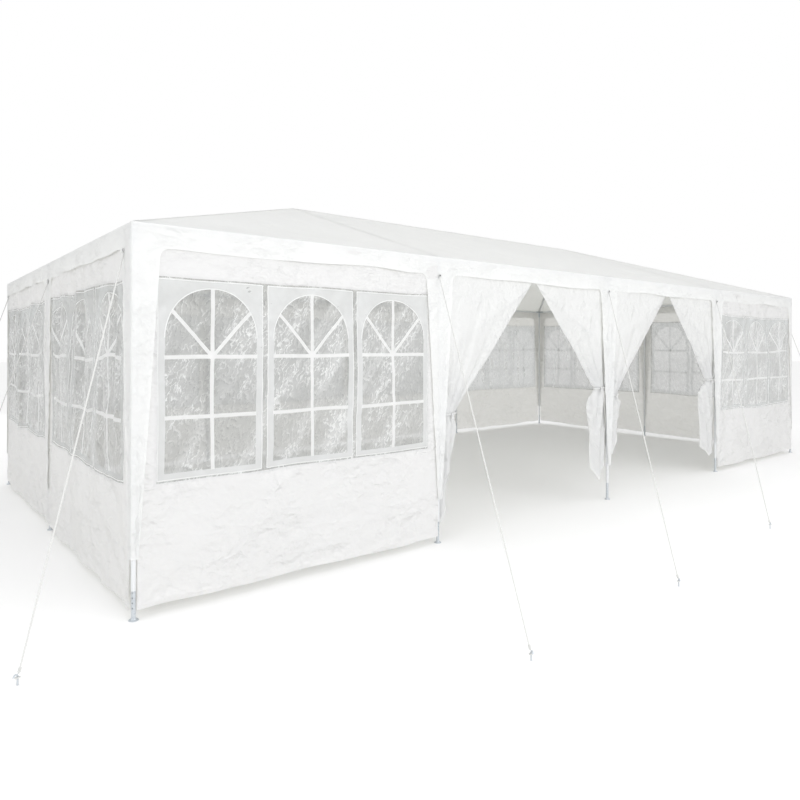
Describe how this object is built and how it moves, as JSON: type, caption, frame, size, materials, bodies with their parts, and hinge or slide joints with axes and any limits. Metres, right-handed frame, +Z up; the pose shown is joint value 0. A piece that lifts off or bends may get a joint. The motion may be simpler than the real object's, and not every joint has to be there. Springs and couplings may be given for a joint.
{
  "type": "marquee tent",
  "caption": "Party marquee with a steel tube frame, hipped tarpaulin roof, church window walls, open doorways with tied-back curtains and guy ropes.",
  "frame": {"origin": "on the ground, under the middle of the tent's plan", "axes": "+X along the ridge, to the right seen from the doors; -Y is the front with the two doorways; +Z up"},
  "size_m": [9.208, 6.968, 2.6203],
  "materials": {
    "frame_tube": "white powder-coated steel tube, grey zinc on the lower ends",
    "roof_tarpaulin": "white coated tape-weave tarpaulin, satin",
    "wall_tarpaulin": "white coated tape-weave tarpaulin, satin, creased",
    "window_film": "clear soft film, glossy, printed with white glazing bars",
    "guy_rope": "white twisted cord"
  },
  "bodies": {
    "root": {"leg_front_1": "frame_tube", "leg_front_2": "frame_tube", "leg_front_3": "frame_tube", "leg_front_4": "frame_tube", "leg_front_5": "frame_tube", "leg_back_1": "frame_tube", "leg_back_2": "frame_tube", "leg_back_3": "frame_tube", "leg_back_4": "frame_tube", "leg_back_5": "frame_tube", "leg_left": "frame_tube", "leg_right": "frame_tube", "eave_rail_front": "frame_tube", "eave_rail_back": "frame_tube", "eave_rail_left": "frame_tube", "eave_rail_right": "frame_tube", "roof_frame_left": "frame_tube", "roof_frame_right": "frame_tube", "centre_rafters": "frame_tube", "ridge_tube_left": "frame_tube", "ridge_tube_right": "frame_tube", "roof_cover_front": "roof_tarpaulin", "roof_cover_back": "roof_tarpaulin", "roof_cover_left": "roof_tarpaulin", "roof_cover_right": "roof_tarpaulin", "front_valance": "roof_tarpaulin", "back_valance": "roof_tarpaulin", "left_valance": "roof_tarpaulin", "right_valance": "roof_tarpaulin", "front_left_wall": "wall_tarpaulin", "front_right_wall": "wall_tarpaulin", "back_wall": "wall_tarpaulin", "left_wall": "wall_tarpaulin", "right_wall": "wall_tarpaulin", "front_left_windows": "window_film", "front_right_windows": "window_film", "back_windows": "window_film", "left_windows": "window_film", "right_windows": "window_film", "left_door_left_curtain": "wall_tarpaulin", "left_door_right_curtain": "wall_tarpaulin", "right_door_left_curtain": "wall_tarpaulin", "right_door_right_curtain": "wall_tarpaulin", "guy_rope_front_1": "guy_rope", "guy_rope_front_2": "guy_rope", "guy_rope_front_3": "guy_rope", "guy_rope_front_4": "guy_rope", "guy_rope_front_5": "guy_rope", "guy_rope_back_1": "guy_rope", "guy_rope_back_2": "guy_rope", "guy_rope_back_3": "guy_rope", "guy_rope_back_4": "guy_rope", "guy_rope_back_5": "guy_rope", "guy_rope_left": "guy_rope", "guy_rope_right": "guy_rope"}
  },
  "joints": []
}
